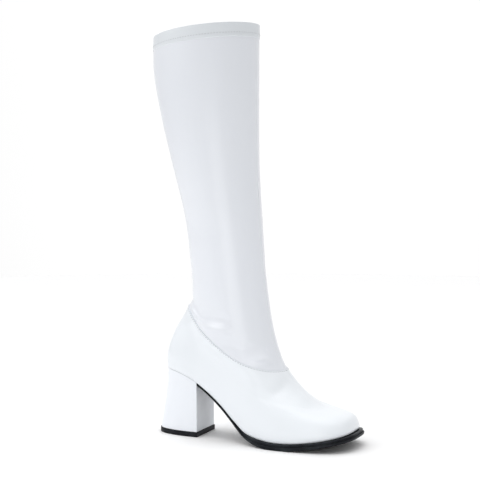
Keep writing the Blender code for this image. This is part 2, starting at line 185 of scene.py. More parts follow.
# Creases of the upper. around is in degrees, 0 at the front, -90 on the outer side and 180 at
# the back, and heights are in mm. bow lifts the middle of the crease, width is how far its
# slope reaches, and rise is how far it stands out, or sinks where it is below 0.
CREASE_COLUMNS = ("around", "height", "to_around", "to_height", "bow", "width", "rise")
CREASES = {
    "tuck over the counter": (-194.0, 158.0, -134.0, 149.0, 0.0, 4.5, -1.2),
    "roll over the counter": (-155.0, 145.0, -121.0, 129.0, 1.5, 3.0, 2.4),
    "outer ankle fold": (-128.0, 123.5, -76.0, 121.5, 1.0, 5.5, 2.8),
    "outer ankle trough": (-130.0, 136.0, -78.0, 133.5, 2.0, 5.5, -1.6),
    "hollow under the fold": (-112.0, 108.0, -64.0, 104.0, 0.0, 6.0, -1.4),
    "instep roll": (-64.0, 90.5, -26.0, 88.5, 2.0, 4.5, 2.0),
    "instep trough": (-68.0, 103.5, -28.0, 104.5, 0.0, 6.0, -1.4),
    "vamp dimple": (-66.0, 55.0, -12.0, 69.0, 0.0, 7.0, -1.6),
    "vamp swell": (-44.0, 44.0, -2.0, 52.0, 2.0, 9.0, 1.0),
    "inner ankle fold": (124.0, 132.0, 80.0, 129.0, 1.0, 5.5, 1.0),
    "inner ankle trough": (128.0, 144.0, 82.0, 141.0, 2.0, 6.5, -0.9),
    "inner hollow": (110.0, 119.0, 70.0, 114.0, 0.0, 6.5, -0.8),
    "inner tuck": (194.0, 158.0, 138.0, 150.0, 0.0, 4.5, -0.9),
    "outer shaft ripple": (-128.0, 232.0, -72.0, 224.0, 4.0, 13.0, -0.6),
    "inner shaft ripple": (122.0, 226.0, 66.0, 219.0, 4.0, 13.0, -0.6),
    "front shaft ripple": (-40.0, 186.0, 30.0, 183.0, 3.0, 10.0, -0.5),
    "pucker at the hem": (-131.0, 432.0, -131.0, 446.0, 0.0, 1.6, -1.0),
}
# Along a crease its strength is a half wave, with this share of it left out at each end
FADE_START = 0.05
FADE_POWER = 0.8

# Closed seam down the back: a groove between the two low ridges of its turned edges
SEAM_WIDTH = 0.8
SEAM_DEPTH = 0.45
RIDGE_RISE = 0.14
RIDGE_PLACE = 2.4
RIDGE_WIDTH = 1.3
OUT_OF_REACH = 99.0

# Thread: how far a row's middle lies above the surface
SEAM_THREAD_LIFT = 0.08
HEM_THREAD_LIFT = 0.06

# Mesh counts
SIDE_POINTS = 124
SOLE_POINTS = 300
FOOT_ROWS = 104
SHAFT_ROWS = 129
BAND_ROWS = 12
COLLAR_ROWS = 22  # the shaft's inside keeps these and then takes every second
HEM_INSIDE_ROWS = 12
FOOT_INSIDE_STEP = 3  # the foot's inside takes one row in this many
BACK_SHARE = 0.09  # how many more columns lie near the middle of the back
BACK_REACH = 2.5  # and how near, in mm

# Steps for looking things up, and small distances
FINE_ANGLES = 720
TABLE_STEPS = 24
SOFTEN = 0.2  # how widely the table of sections is softened, in levels
ANGLE_STEPS = 4
PLACE_STEPS = 20
EDGE_STEPS = 240
CREASE_POINTS = 41
TINY = 0.001  # mm
MERGE = 1e-6  # metres
SLIVER = 1e-7  # metres

SOLE_SHARP = 0.7  # radians past which an edge is drawn sharp
HEEL_SHARP = 0.6


def smooth(table):
    """A smooth curve through a table's rows, keyed by its first column."""
    table = np.array(table, float)
    keys, rows = table[:, 0], table[:, 1:]
    step = np.diff(keys)[:, None]
    slope = np.diff(rows, axis=0) / step
    middle = (slope[:-1] * step[1:] + slope[1:] * step[:-1]) / (step[1:] + step[:-1])
    middle[slope[:-1] * slope[1:] <= 0.0] = 0.0
    tangent = np.concatenate([slope[:1], middle, slope[-1:]])

    def at(key):
        key = np.clip(np.asarray(key, float), keys[0], keys[-1])
        i = np.clip(np.searchsorted(keys, key, side="right") - 1, 0, len(keys) - 2)
        width = (keys[i + 1] - keys[i])[..., None]
        t = (key - keys[i])[..., None] / width
        value = (2 * t**3 - 3 * t**2 + 1) * rows[i] + (3 * t**2 - 2 * t**3) * rows[i + 1]
        value += (t**3 - 2 * t**2 + t) * width * tangent[i] + (t**3 - t**2) * width * tangent[i + 1]
        return value

    return at


def line_along_foot(table, scale):
    """A function of x in mm, from a table keyed in percent of the foot's length."""
    rows = np.array(table, float)
    curve = smooth(np.c_[rows[:, 0] * FOOT_LENGTH / 100.0, rows[:, 1:] * scale])
    return lambda x: curve(x) if rows.shape[1] > 2 else curve(x)[..., 0]


feather_z = line_along_foot(FEATHER_LINE, SEAT_HEIGHT / 100.0)
tread_z = line_along_foot(TREAD_LINE, SEAT_HEIGHT / 100.0)
waist_in = line_along_foot(WAIST, BALL_WIDTH / 100.0)
outset = line_along_foot(OUTSET, 1.0)


def section_curve():
    """The upper's sections in mm at any level, a whole number for each named section."""
    foot_scale = (
        FOOT_LENGTH, INSTEP_HEIGHT, FOOT_LENGTH, SEAT_HEIGHT, FOOT_LENGTH, BALL_WIDTH, BALL_WIDTH,
    )
    shaft_scale = (
        CALF_LENGTH, BOOT_HEIGHT, CALF_LENGTH, BOOT_HEIGHT, CALF_LENGTH, CALF_WIDTH, CALF_WIDTH,
    )
    rows = []
    for sections, scale in ((FOOT_SECTIONS, foot_scale), (SHAFT_SECTIONS, shaft_scale)):
        for row in sections.values():
            sized = [value * size / 100.0 for value, size in zip(row, scale)]
            rows.append(sized + list(row[len(scale):]))
    last = len(rows) - 1
    levels = np.linspace(0.0, last, last * TABLE_STEPS + 1)
    fine = smooth(np.c_[np.arange(last + 1.0), rows])(levels)
    reach = TABLE_STEPS
    weights = np.exp(-0.5 * (np.arange(-reach, reach + 1) / (SOFTEN * reach)) ** 2)
    weights /= weights.sum()
    before = 2.0 * fine[0] - fine[reach:0:-1]
    after = 2.0 * fine[-1] - fine[-2:-reach - 2:-1]
    padded = np.concatenate([before, fine, after])
    soft = sum(w * padded[k:k + len(fine)] for k, w in enumerate(weights))
    return smooth(np.c_[levels, soft])


sections = section_curve()
SEAM_LEVEL = list(FOOT_SECTIONS).index("ankle seam")
HEM_LEVEL = len(FOOT_SECTIONS) + list(SHAFT_SECTIONS).index("hem")
COLLAR_LEVEL = HEM_LEVEL + 1


def skin(levels, angles):
    """Points of the upper's surface. Angle 0 is the front and pi/2 the inner side."""
    cut = dict(zip(SECTION_COLUMNS, np.moveaxis(sections(levels), -1, 0)))
    follow = np.maximum(cut["follow"], 0.0)
    along, across = np.cos(angles), np.sin(angles)
    front = along >= 0.0
    power = np.where(front, cut["front_power"], cut["back_power"])
    reach = np.where(front, cut["front"] - cut["widest"], cut["widest"] - cut["back"])
    x = cut["widest"] + reach * np.sign(along) * np.abs(along) ** (2.0 / power)
    pinch = waist_in(x)
    inner = across > 0.0
    half = np.where(
        inner, cut["inner"] - pinch[..., 1] * follow, cut["outer"] - pinch[..., 0] * follow
    )
    y = half * np.sign(across) * np.abs(across) ** (2.0 / power)
    y = y + TOE_SWING * (np.maximum(x - SWING_START, 0.0) / SWING_LENGTH) ** 2 * follow**0.5
    share = (x - cut["back"]) / (cut["front"] - cut["back"])
    z = cut["back_z"] + (cut["front_z"] - cut["back_z"]) * share
    back_z, front_z = feather_z(cut["back"]), feather_z(cut["front"])
    z = z + follow * (feather_z(x) - back_z - (front_z - back_z) * share)
    z = z + cut["sag"] * 4.0 * share * (1.0 - share)
    return np.stack([x, y, z], axis=-1)


def side_angles(level, count, back_share=0.0):
    """Angles of a level's columns along its outer side, from back to front."""
    fine = np.linspace(-np.pi, 0.0, FINE_ANGLES + 1)
    steps = np.linalg.norm(np.diff(skin(np.full(len(fine), level), fine), axis=0), axis=1)
    run = np.concatenate([[0.0], np.cumsum(steps)])
    key = run / run[-1] + np.linspace(0.0, 1.0, FINE_ANGLES + 1)
    key += back_share * (1.0 - np.exp(-run / BACK_REACH))
    return np.interp(np.linspace(0.0, key[-1], count + 1), key, fine)


def both_sides(outer_side):
    """Angles all the way round, from those along the outer side."""
    return np.concatenate([outer_side, -outer_side[-2:0:-1]])


ANGLE_LEVELS = np.linspace(0.0, COLLAR_LEVEL, COLLAR_LEVEL * ANGLE_STEPS + 1)
ANGLE_TABLE = np.array(
    [both_sides(side_angles(level, SIDE_POINTS, BACK_SHARE)) for level in ANGLE_LEVELS]
)
COLUMNS = ANGLE_TABLE.shape[1]


def column_angles(levels):
    """The angle of each column at each of its levels. levels has a row for each ring."""
    angles = [np.interp(levels[:, k], ANGLE_LEVELS, ANGLE_TABLE[:, k]) for k in range(COLUMNS)]
    return np.stack(angles, axis=1)


def levels_at(edge, distances):
    """Levels that lie these distances above an edge, column by column."""
    nearby = np.linspace(edge - 2.0, edge + 1.0, EDGE_STEPS + 1)
    grid = np.repeat(nearby[:, None], COLUMNS, axis=1)
    points = skin(grid, column_angles(grid))
    steps = np.linalg.norm(np.diff(points, axis=0), axis=2)
    run = np.concatenate([np.zeros((1, COLUMNS)), np.cumsum(steps, axis=0)])
    home = int(np.argmin(np.abs(nearby - edge)))
    run -= run[home]
    return np.stack([np.interp(distances, run[:, k], nearby) for k in range(COLUMNS)], axis=1)


def outward(rings):
    """Unit normals of a stack of closed rings."""
    around = np.roll(rings, -1, axis=1) - np.roll(rings, 1, axis=1)
    up = np.gradient(rings, axis=0)
    normal = np.cross(around, up)
    return normal / np.linalg.norm(normal, axis=2)[..., None]


def place_on_skin(around, height):
    """Points of the skin at angles in degrees and heights in mm."""
    levels = np.linspace(0.0, COLLAR_LEVEL, COLLAR_LEVEL * PLACE_STEPS + 1)
    found = []
    for degrees, z in zip(around, height):
        angle = np.radians((degrees + 180.0) % 360.0 - 180.0)
        column = skin(levels, np.full(len(levels), angle))
        found.append([np.interp(z, column[:, 2], column[:, i]) for i in range(3)])
    return np.array(found)


def crease_rise(points):
    """How far the creases lift each point of the skin."""
    rise = np.zeros(points.shape[:-1])
    share = np.linspace(0.0, 1.0, CREASE_POINTS)
    fade = np.sin(np.pi * (share * (1.0 - 2.0 * FADE_START) + FADE_START)) ** FADE_POWER
    for row in CREASES.values():
        crease = dict(zip(CREASE_COLUMNS, row))
        around = crease["around"] + (crease["to_around"] - crease["around"]) * share
        height = crease["height"] + (crease["to_height"] - crease["height"]) * share
        height = height + crease["bow"] * 4.0 * share * (1.0 - share)
        path = place_on_skin(around, height)
        near = np.full(rise.shape, np.inf)
        here = np.zeros(rise.shape)
        for spot, amount in zip(path, fade):
            away = np.linalg.norm(points - spot, axis=-1)
            closer = away < near
            near = np.where(closer, away, near)
            here = np.where(closer, amount, here)
        rise += crease["rise"] * here * np.exp(-((near / crease["width"]) ** 2))
    return rise


def seam_rise(points):
    """How far the closed seam down the middle of the back lifts each point of the skin."""
    behind = points[..., 0] < sections(0.0)[SECTION_COLUMNS.index("widest")]
    away = np.where(behind, np.abs(points[..., 1]), OUT_OF_REACH)
    groove = -SEAM_DEPTH * np.exp(-((away / SEAM_WIDTH) ** 2))
    return groove + RIDGE_RISE * np.exp(-(((away - RIDGE_PLACE) / RIDGE_WIDTH) ** 2))


def creased_skin(levels):
    """The skin at the given levels with its creases, and its normals."""
    points = skin(levels, column_angles(levels))
    normals = outward(points)
    rise = crease_rise(points) + seam_rise(points)
    points = points + normals * rise[..., None]
    return points, outward(points)


def in_frame(points):
    """Millimetres from the breast, turned into metres in the part's frame."""
    return (np.asarray(points, float) - np.array([CENTRE_X, 0.0, 0.0])) * MM


def piece(name, points, faces, finishes, slots=None, uv=None, sharp=None):
    """A mesh object with faces turned outward, smooth shading and its finishes."""
    mesh = bpy.data.meshes.new(name)
    mesh.from_pydata(in_frame(points).tolist(), [], faces)
    for material in finishes:
        mesh.materials.append(material)
    if slots is not None:
        mesh.polygons.foreach_set("material_index", np.asarray(slots, np.int32))
    if uv is not None:
        layer = mesh.uv_layers.new(name="cloth")
        layer.data.foreach_set("uv", np.asarray(uv, np.float32).ravel())
    work = bmesh.new()
    work.from_mesh(mesh)
    bmesh.ops.remove_doubles(work, verts=work.verts, dist=MERGE)
    bmesh.ops.dissolve_degenerate(work, edges=work.edges, dist=SLIVER)
    bmesh.ops.recalc_face_normals(work, faces=work.faces)
    work.to_mesh(mesh)
    work.free()
    mesh.shade_smooth()
    if sharp is not None:
        mesh.set_sharp_from_angle(angle=sharp)
    obj = bpy.data.objects.new(name, mesh)
    bpy.context.scene.collection.objects.link(obj)
    return obj


def ring_shell(name, rings, ring_slots, finishes):
    """A closed tube wall from rings that run up its outside and down its inside."""
    rings = np.array(rings)
    count, around = rings.shape[:2]
    r, k = np.meshgrid(np.arange(count), np.arange(around), indexing="ij")
    above, beside = (r + 1) % count, (k + 1) % around
    corners = ((r, k), (r, beside), (above, beside), (above, k))
    faces = np.stack([a * around + b for a, b in corners], axis=-1).reshape(-1, 4)
    steps = np.linalg.norm(np.diff(rings, axis=0, append=rings[:1]), axis=2).mean(axis=1)
    up = np.concatenate([[0.0], np.cumsum(steps)]) * MM
    girth = np.linalg.norm(np.diff(rings, axis=1, append=rings[:, :1]), axis=2).sum(1).mean() * MM
    across = np.linspace(0.0, girth, around + 1)
    uv = np.stack(
        [
            np.stack([across[k], up[r]], -1),
            np.stack([across[k + 1], up[r]], -1),
            np.stack([across[k + 1], up[r + 1]], -1),
            np.stack([across[k], up[r + 1]], -1),
        ],
        axis=2,
    )
    slots = np.repeat(np.asarray(ring_slots), around)
    return piece(name, rings.reshape(-1, 3), faces.tolist(), finishes, slots, uv)


# Shader trees
class Wire:
    """An output socket. Arithmetic on it adds Math nodes."""

    def __init__(self, tree, socket):
        self.tree, self.socket = tree, socket

    def beside(self, output):
        """Another output of the node that this one belongs to."""
        return Wire(self.tree, self.socket.node.outputs[output])

    def math(self, operation, *operands):
        values = dict(enumerate(operands))
        return node(self.tree, "ShaderNodeMath", {"operation": operation}, values)

    def __add__(self, other):
        return self.math("ADD", self, other)

    def __sub__(self, other):
        return self.math("SUBTRACT", self, other)

    def __rsub__(self, other):
        return self.math("SUBTRACT", other, self)

    def __mul__(self, other):
        return self.math("MULTIPLY", self, other)

    def __truediv__(self, other):
        return self.math("DIVIDE", self, other)

    def __pow__(self, other):
        return self.math("POWER", self, other)

    __radd__ = __add__
    __rmul__ = __mul__

    def sine(self):
        return self.math("SINE", self)

    def at_least(self, least):
        return self.math("MAXIMUM", self, least)

    def smoothly(self, low, high):
        """0 below low and 1 above high, with a soft change between."""
        settings = {"interpolation_type": "SMOOTHSTEP"}
        values = {"Value": self, "From Min": low, "From Max": high}
        return node(self.tree, "ShaderNodeMapRange", settings, values)


def node(tree, kind, settings=None, values=None, output=0):
    """Adds a node, sets it, fills or links its sockets and returns one of its outputs."""
    made = tree.nodes.new(kind)
    for name, setting in (settings or {}).items():
        setattr(made, name, setting)
    for name, value in (values or {}).items():
        if isinstance(value, Wire):
            tree.links.new(value.socket, made.inputs[name])
        else:
            made.inputs[name].default_value = value
    return Wire(tree, made.outputs[output])


def noise(tree, where, scale, detail=2.0, roughness=0.5):
    """A cloudy pattern round 0.5. A larger scale makes it finer."""
    values = {"Vector": where, "Scale": scale, "Detail": detail, "Roughness": roughness}
    return node(tree, "ShaderNodeTexNoise", None, values, "Fac")


def mixed(tree, share, first, second):
    """A colour between two."""
    values = {0: share, 6: (*first, 1.0), 7: (*second, 1.0)}
    return node(tree, "ShaderNodeMix", {"data_type": "RGBA"}, values, 2)


def bumped(tree, height, distance, strength, below=None):
    """A normal bent by a pattern's height, on top of another where one is given."""
    values = {"Height": height, "Distance": distance, "Strength": strength}
    if below is not None:
        values["Normal"] = below
    return node(tree, "ShaderNodeBump", None, values, "Normal")


def finish(name, constants):
    """A material with its shader's fixed values set, its tree, shader and Object coordinates."""
    material = bpy.data.materials.new(name)
    material.use_nodes = True
    tree = material.node_tree
    surface = tree.nodes["Principled BSDF"]
    for socket, value in constants.items():
        surface.inputs[socket].default_value = value
    where = node(tree, "ShaderNodeTexCoord", output="Object")
    return material, tree, surface, where


def drive(tree, surface, **sockets):
    """Links wires to the shader's sockets, named with underscores for spaces."""
    for name, wire in sockets.items():
        tree.links.new(wire.socket, surface.inputs[name.replace("_", " ")])


def darker(colour):
    """Painted shade: the colour of a thread or a knit between its raised parts, where shade falls.
    """
    return tuple(0.8 * c for c in colour)


def white_vinyl(name, colour, shade, roughness, coat, wave, peel):
    """Smooth white vinyl: faint clouding, slow waves, an orange peel and a very fine grain."""
    constants = {"Coat Weight": coat, "Coat Roughness": 0.2, "Specular IOR Level": 0.5}
    material, tree, surface, where = finish(name, constants)
    cloud = noise(tree, where, scale=7.0)
    drift = noise(tree, where, scale=45.0)
    waves = noise(tree, where, scale=34.0, detail=1.0)
    dimples = noise(tree, where, scale=240.0)
    grain = noise(tree, where, scale=1400.0, detail=3.0, roughness=0.6)
    rough = roughness + (drift - 0.5) * 0.02 + (cloud - 0.5) * 0.05
    normal = bumped(tree, waves, distance=0.0012, strength=wave)
    normal = bumped(tree, dimples, distance=0.00018, strength=peel, below=normal)
    normal = bumped(tree, grain, distance=0.00002, strength=0.3, below=normal)
    base = mixed(tree, cloud, shade, colour)
    drive(tree, surface, Base_Color=base, Roughness=rough, Normal=normal)
    return material


def knit_backing(name, colour, laid_by, rib, loop):
    """A knitted cloth, laid by UV or Object coordinates, with these pitches in metres, and with
    painted shade between its ribs and loops.
    """
    material, tree, surface, where = finish(name, {"Sheen Weight": 0.15})
    cloth = {"Vector": where.beside(laid_by)}
    across = node(tree, "ShaderNodeSeparateXYZ", None, cloth, "X")
    up = across.beside("Y")
    ribs = (across * (2.0 * np.pi / rib)).sine()
    loops = (up * (2.0 * np.pi / loop)).sine()
    height = ribs * 0.35 + loops * 0.15 + 0.5
    fuzz = noise(tree, where, scale=700.0, detail=3.0)
    # Painted shade: the knit darkens between its raised ribs and loops, mixed with random fuzz.
    painted_shade_and_fuzz = (height * 0.6 + fuzz * 0.4).smoothly(0.1, 0.9)
    rough = 0.8 + (fuzz - 0.5) * 0.2
    normal = bumped(tree, fuzz, distance=0.0002, strength=0.3)
    normal = bumped(tree, height, distance=0.0002, strength=0.6, below=normal)
    base = mixed(tree, painted_shade_and_fuzz, darker(colour), colour)
    drive(tree, surface, Base_Color=base, Roughness=rough, Normal=normal)
    return material


def black_rubber(name, colour, bloom, roughness):
    """Moulded black rubber with a faint grey bloom and a fine grain."""
    material, tree, surface, where = finish(name, {"Specular IOR Level": 0.12})
    cloud = noise(tree, where, scale=70.0, detail=4.0)
    grain = noise(tree, where, scale=1100.0, detail=3.0, roughness=0.6)
    rough = roughness + (cloud - 0.5) * 0.16
    normal = bumped(tree, cloud, distance=0.0004, strength=0.3)
    normal = bumped(tree, grain, distance=0.00006, strength=0.5, below=normal)
    base = mixed(tree, cloud.smoothly(0.42, 0.72), colour, bloom)
    drive(tree, surface, Base_Color=base, Roughness=rough, Normal=normal)
    return material


def twisted_thread(name, colour):
    """White sewing thread, with its twist as a bump and as painted shade in the grooves between its
    strands.
    """
    material, tree, surface, where = finish(name, {"Sheen Weight": 0.2})
    settings = {"wave_type": "BANDS", "bands_direction": "DIAGONAL"}
    values = {"Vector": where, "Scale": 900.0, "Distortion": 1.0}
    twist = node(tree, "ShaderNodeTexWave", settings, values, "Fac")
    normal = bumped(tree, twist, distance=0.00008, strength=0.6)
    # Painted shade: the thread darkens in the grooves of its twist.
    base = mixed(tree, twist, darker(colour), colour)
    drive(tree, surface, Base_Color=base, Roughness=0.55 + twist * 0.1, Normal=normal)
    return material


def studio_floor(name):
    """Plain pale floor."""
    material, tree, surface, where = finish(name, {"Specular IOR Level": 0.1})
    cloud = noise(tree, where, scale=1.5)
    base = mixed(tree, cloud, (0.955, 0.955, 0.96), (0.97, 0.97, 0.97))
    drive(tree, surface, Base_Color=base, Roughness=0.85 + cloud * 0.05)
    return material


SHAFT_VINYL = white_vinyl(
    "shaft stretch vinyl", colour=(0.81, 0.835, 0.88), shade=(0.80, 0.825, 0.875),
    roughness=0.36, coat=0.5, wave=0.012, peel=0.25,
)
HEM_VINYL = white_vinyl(
    "hem vinyl", colour=(0.75, 0.78, 0.81), shade=(0.74, 0.775, 0.81),
    roughness=0.36, coat=0.1, wave=0.012, peel=0.5,
)
FOOT_VINYL = white_vinyl(
    "foot vinyl", colour=(0.85, 0.885, 0.92), shade=(0.845, 0.88, 0.92),
    roughness=0.30, coat=0.3, wave=0.015, peel=0.3,
)
HEEL_VINYL = white_vinyl(
    "heel cover vinyl", colour=(0.87, 0.90, 0.945), shade=(0.865, 0.895, 0.945),
    roughness=0.30, coat=0.15, wave=0.04, peel=0.2,
)
KNIT = knit_backing("knit backing", (0.78, 0.78, 0.78), "UV", rib=0.0013, loop=0.0009)
SOCK = knit_backing("insole sock", (0.66, 0.66, 0.65), "Object", rib=0.0016, loop=0.0011)
SOLE_RUBBER = black_rubber(
    "sole rubber", colour=(0.008, 0.009, 0.012), bloom=(0.022, 0.026, 0.03), roughness=0.42
)
WELT_RUBBER = black_rubber(
    "welt rubber", colour=(0.014, 0.016, 0.02), bloom=(0.035, 0.04, 0.046), roughness=0.38
)
LIFT_RUBBER = black_rubber(
    "top piece rubber", colour=(0.010, 0.011, 0.014), bloom=(0.03, 0.034, 0.038), roughness=0.45
)
# The thread's grey, darker than the white vinyl, is painted shade standing in for the shadow along
# the stitches.
THREAD = twisted_thread("thread greyed by painted shade", (0.55, 0.57, 0.6))


# Upper, in two shells of rings that run up the outside and then down the inside
def build_foot():
    """Vamp and quarters in one shell, lapped over the shaft along the ankle seam."""
    runs = np.array(EDGE_RUNS)
    edge = levels_at(SEAM_LEVEL, runs)
    share = np.linspace(0.0, 1.0, FOOT_ROWS + 1)[:-1, None]
    levels = np.concatenate([share * edge[0], edge])
    points, normals = creased_skin(levels)
    step = PANEL_STEP * np.clip(levels / STEP_LEVELS, 0.0, 1.0) ** STEP_POWER
    toward_edge = 1.0 + np.maximum(runs, -EDGE_RADIUS) / EDGE_RADIUS
    round_off = 1.0 - np.sqrt(np.clip(1.0 - toward_edge**2, 0.0, 1.0))
    step[-len(runs):] -= EDGE_DROP * round_off[:, None]
    outside = points + normals * step[..., None]
    lap_row = FOOT_ROWS + EDGE_RUNS.index(-LAP)
    under_lap = range(len(levels) - 1, lap_row - 1, -2)
    inside = [points[i] - normals[i] * UNDER_LAP for i in under_lap]
    low = range(0, lap_row - 1, FOOT_INSIDE_STEP)[::-1]
    inside += [points[i] - normals[i] * WALL for i in low]
    slots = [0] * len(outside) + [1] * len(inside)
    foot = ring_shell("foot_panels", [*outside, *inside], slots, [FOOT_VINYL, KNIT])
    row = FOOT_ROWS + EDGE_RUNS.index(STITCH_RUN)
    return foot, outside[row] + normals[row] * SEAM_THREAD_LIFT


def build_shaft():
    """The stretch shaft, turned in at the hem, with its lower edge under the foot panels."""
    runs = np.array(TUCK_RUNS)
    edge = levels_at(SEAM_LEVEL, runs)
    hem = HEM_LEVEL + np.array(HEM_OFFSETS)
    share = np.linspace(0.0, 1.0, SHAFT_ROWS + 2)[1:-1, None]
    rise = edge[-1] + (hem[0] - edge[-1]) * share
    band = np.linspace(HEM_LEVEL + BAND_START, COLLAR_LEVEL, BAND_ROWS)
    flat = np.repeat(np.concatenate([hem, band])[:, None], COLUMNS, axis=1)
    levels = np.concatenate([edge, rise, flat])
    points, normals = creased_skin(levels)
    normals[-1, :, 2] = 0.0
    normals[-1] /= np.linalg.norm(normals[-1], axis=1)[:, None]
    over_hem = np.clip((levels - HEM_LEVEL + FOLD_BELOW) / FOLD_HEIGHT, 0.0, 1.0)
    step = HEM_STEP * np.sqrt(1.0 - (1.0 - over_hem) ** 2)
    pull = -TUCK_DEPTH * np.exp(-((np.maximum(runs, 0.0) / TUCK_FADE) ** 2))
    step[:len(runs)] += pull[:, None]
    outside = points + normals * step[..., None]
    middle = (HEM_STEP - WALL) / 2.0
    half = (HEM_STEP + WALL) / 2.0
    lip = []
    for turn in np.radians(LIP_TURNS):
        ring = points[-1] + normals[-1] * (middle + half * np.cos(turn))
        ring[:, 2] += HEM_STEP * np.sin(turn)
        lip.append(ring)
    thin_out = len(levels) - COLLAR_ROWS
    order = [*range(len(levels) - 1, thin_out, -1), *range(thin_out, 0, -2), 0]
    inside = [points[i] - normals[i] * WALL for i in order]
    hem_row = len(edge) + len(rise) + HEM_OFFSETS.index(0.0)
    hem_rings = len(outside) - hem_row + len(lip) + HEM_INSIDE_ROWS
    slots = [0] * hem_row + [2] * hem_rings + [1] * (len(inside) - HEM_INSIDE_ROWS)
    shaft = ring_shell("shaft", [*outside, *lip, *inside], slots, [SHAFT_VINYL, KNIT, HEM_VINYL])
    row = len(levels) - BAND_ROWS + 1
    return shaft, outside[row] + normals[row] * HEM_THREAD_LIFT


# Sole, heel and top piece
def sole_ring(cuts):
    """The feather line with a point at each x in cuts, from the back round."""
    ring = skin(np.zeros(2 * SOLE_POINTS), both_sides(side_angles(0.0, SOLE_POINTS)))
    for place in cuts:
        points = []
        for here, ahead in zip(ring, np.roll(ring, -1, axis=0)):
            points.append(here)
            if (here[0] - place) * (ahead[0] - place) < 0.0:
                points.append(here + (ahead - here) * (place - here[0]) / (ahead[0] - here[0]))
        ring = np.array(points)
    return ring


def moved_in_plan(ring, distance):
    """A closed ring moved sideways by a distance at each point, positive being outward."""
    along = (np.roll(ring, -1, axis=0) - np.roll(ring, 1, axis=0))[:, :2]
    along /= np.linalg.norm(along, axis=1)[:, None]
    moved = ring.copy()
    moved[:, 0] += along[:, 1] * distance
    moved[:, 1] -= along[:, 0] * distance
    return moved


def welt_thickness(x):
    """The welt's thickness at x, less toward its back ends."""
    share = np.clip((x - WELT_START) / WELT_TAPER, 0.0, 1.0)
    return WELT_END + (WELT_THICKNESS - WELT_END) * share


def under_upper(ring):
    """Heights just under the upper's lower edge."""
    return ring[:, 2] - GAP


def under_welt(ring):
    """Heights of the outsole's top, which drops to go under the welt."""
    share = np.clip((ring[:, 0] - WELT_START) / RAMP + 1.0, 0.0, 1.0)
    return under_upper(ring) - share * (welt_thickness(ring[:, 0]) + GAP)


def welt_underside(ring):
    """Heights of the welt's underside."""
    return under_upper(ring) - welt_thickness(ring[:, 0])


def tread_ribs(points):
    """How far the tread's grooves are cut up into the forefoot."""
    x, margin = points[..., 0], points[..., 3]
    inside = np.clip((margin - GROOVE_MARGIN) / GROOVE_FADE, 0.0, 1.0)
    inside *= np.clip((x - GROOVES_START) / GROOVE_FADE, 0.0, 1.0)
    away = np.abs((x / GROOVE_PITCH) % 1.0 - 0.5)
    rib = np.clip(away * GROOVE_FLANK - GROOVE_FLOOR, 0.0, 1.0)
    return GROOVE_DEPTH * inside * (1.0 - rib)


def filled(ring, columns, lift):
    """Rows of points across an open ring, from its outer to its inner side.

    lift takes the points, each with its distance from the edge behind its x, y and z.
    """
    half = (len(ring) + 1) // 2
    outer, inner = ring[:half], ring[::-1][:half]
    share = np.linspace(0.0, 1.0, columns + 1)[None, :, None]
    grid = outer[:, None] + (inner - outer)[:, None] * share
    if lift is not None:
        width = np.linalg.norm(inner - outer, axis=1)[:, None]
        from_side = width * np.minimum(share[..., 0], 1.0 - share[..., 0])
        from_tip = (outer[:, 0].max() - outer[:, 0])[:, None]
        margin = np.minimum(from_side, from_tip)
        grid[..., 2] += lift(np.concatenate([grid, margin[..., None]], axis=-1))
    return grid


def block(name, rings, columns, lift, finishes, sharp):
    """A closed block from open rings, top ring first, with a flat end across their start."""
    rings = np.array(rings)
    layers, count = rings.shape[:2]
    points = [rings.reshape(-1, 3)]
    faces = []
    for i in range(layers - 1):
        for k in range(count):
            ahead = (k + 1) % count
            low, high = i * count, (i + 1) * count
            faces.append((low + k, low + ahead, high + ahead, high + k))
    start = layers * count
    for ring, shape in ((rings[0], None), (rings[-1], lift)):
        grid = filled(ring, columns, shape)
        rows, wide = grid.shape[:2]
        points.append(grid.reshape(-1, 3))
        for i in range(rows - 1):
            for k in range(wide - 1):
                a = start + i * wide + k
                faces.append((a, a + 1, a + wide + 1, a + wide))
        start += rows * wide
    return piece(name, np.concatenate(points), faces, finishes, sharp=sharp)


def build_sole_layer(name, start, inset, top, bottom, edge, columns, lift, material):
    """A layer of the sole in front of start, with a shaped edge."""
    ring = sole_ring((start, WELT_START - RAMP, WELT_START) if start < WELT_START else (start,))
    ahead = ring[:, 0] > start - TINY
    rings = []
    for share, bevel in edge:
        moved = moved_in_plan(ring, outset(ring[:, 0]) - inset - bevel)
        moved[:, 2] = top(ring) + (bottom(ring) - top(ring)) * share
        ends = np.abs(ring[:, 0] - start) < TINY
        moved[ends, 0] = start
        rings.append(moved[ahead])
    return block(name, rings, columns, lift, [material], SOLE_SHARP)


def heel_plan(reach, inset, shares):
    """The heel seen from below: straight breast and round back, from its outer corner."""
    angles = np.linspace(0.0, np.pi, FINE_ANGLES + 1)
    along, across = np.sin(angles), np.cos(angles)
    x = -inset - (reach - 2.0 * inset) * np.abs(along) ** (2.0 / HEEL_POWER)
    y = (inset - HEEL_WIDTH / 2.0) * np.sign(across) * np.abs(across) ** (2.0 / HEEL_POWER)
    run = np.concatenate([[0.0], np.cumsum(np.hypot(np.diff(x), np.diff(y)))])
    places = shares * run[-1]
    return np.stack([np.interp(places, run, x), np.interp(places, run, y), 0.0 * places], axis=1)


def seat_outline():
    """The feather line behind the breast, from its outer to its inner corner."""
    ring = sole_ring((0.0,))
    ring = np.roll(ring, len(ring) // 2, axis=0)
    return ring[ring[:, 0] < TINY][::-1]


def run_shares(points):
    """How far along a path each of its points lies, as a share of its length."""
    run = np.cumsum(np.linalg.norm(np.diff(points, axis=0), axis=1))
    return np.concatenate([[0.0], run / run[-1]])


# Shares of the heel's height, closer together at both ends
HEEL_LAYERS = np.concatenate([[0.0, 0.004], np.linspace(0.01, 0.99, 42), [0.996, 1.0]])
HEEL_COLUMNS = 16


